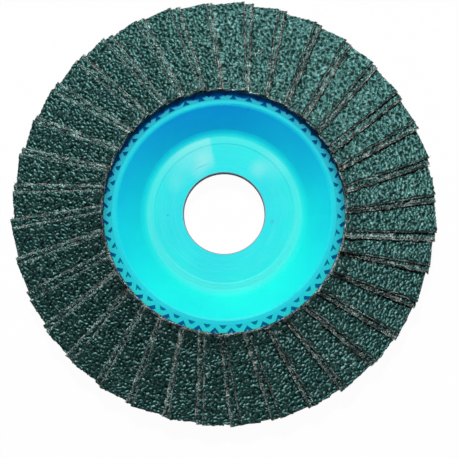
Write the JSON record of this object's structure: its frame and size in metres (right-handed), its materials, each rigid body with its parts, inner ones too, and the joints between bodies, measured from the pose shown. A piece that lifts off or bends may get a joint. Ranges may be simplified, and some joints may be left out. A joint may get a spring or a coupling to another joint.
{
  "type": "flap disc",
  "caption": "Abrasive flap disc: dished plastic backing plate with a zigzag collar, a resin bed and a ring of overlapping abrasive cloth flaps laid in pairs.",
  "frame": {"origin": "centre of the bore on the back face of the hub, which is the lowest face", "axes": "+Z along the spindle out of the abrasive side, +Y towards the top of the picture"},
  "size_m": [0.1166, 0.1166, 0.0147],
  "materials": {
    "plate_plastic": "smooth moulded",
    "resin": "cured resin",
    "abrasive_cloth": "coarse grit on cloth"
  },
  "bodies": {
    "root": {"backing_plate": "plate_plastic", "resin_bed": "resin", "flap_pair_01": "abrasive_cloth", "flap_pair_02": "abrasive_cloth", "flap_pair_03": "abrasive_cloth", "flap_pair_04": "abrasive_cloth", "flap_pair_05": "abrasive_cloth", "flap_pair_06": "abrasive_cloth", "flap_pair_07": "abrasive_cloth", "flap_pair_08": "abrasive_cloth", "flap_pair_09": "abrasive_cloth", "flap_pair_10": "abrasive_cloth", "flap_pair_11": "abrasive_cloth", "flap_pair_12": "abrasive_cloth", "flap_pair_13": "abrasive_cloth", "flap_pair_14": "abrasive_cloth", "flap_pair_15": "abrasive_cloth", "flap_pair_16": "abrasive_cloth", "flap_pair_17": "abrasive_cloth", "flap_pair_18": "abrasive_cloth", "flap_pair_19": "abrasive_cloth", "flap_pair_20": "abrasive_cloth", "flap_pair_21": "abrasive_cloth", "flap_pair_22": "abrasive_cloth", "flap_pair_23": "abrasive_cloth", "flap_pair_24": "abrasive_cloth", "flap_pair_25": "abrasive_cloth", "flap_pair_26": "abrasive_cloth", "flap_pair_27": "abrasive_cloth", "flap_pair_28": "abrasive_cloth", "flap_pair_29": "abrasive_cloth", "flap_pair_30": "abrasive_cloth", "flap_pair_31": "abrasive_cloth", "flap_pair_32": "abrasive_cloth", "flap_pair_33": "abrasive_cloth", "flap_pair_34": "abrasive_cloth", "flap_pair_35": "abrasive_cloth", "flap_pair_36": "abrasive_cloth"}
  },
  "joints": []
}
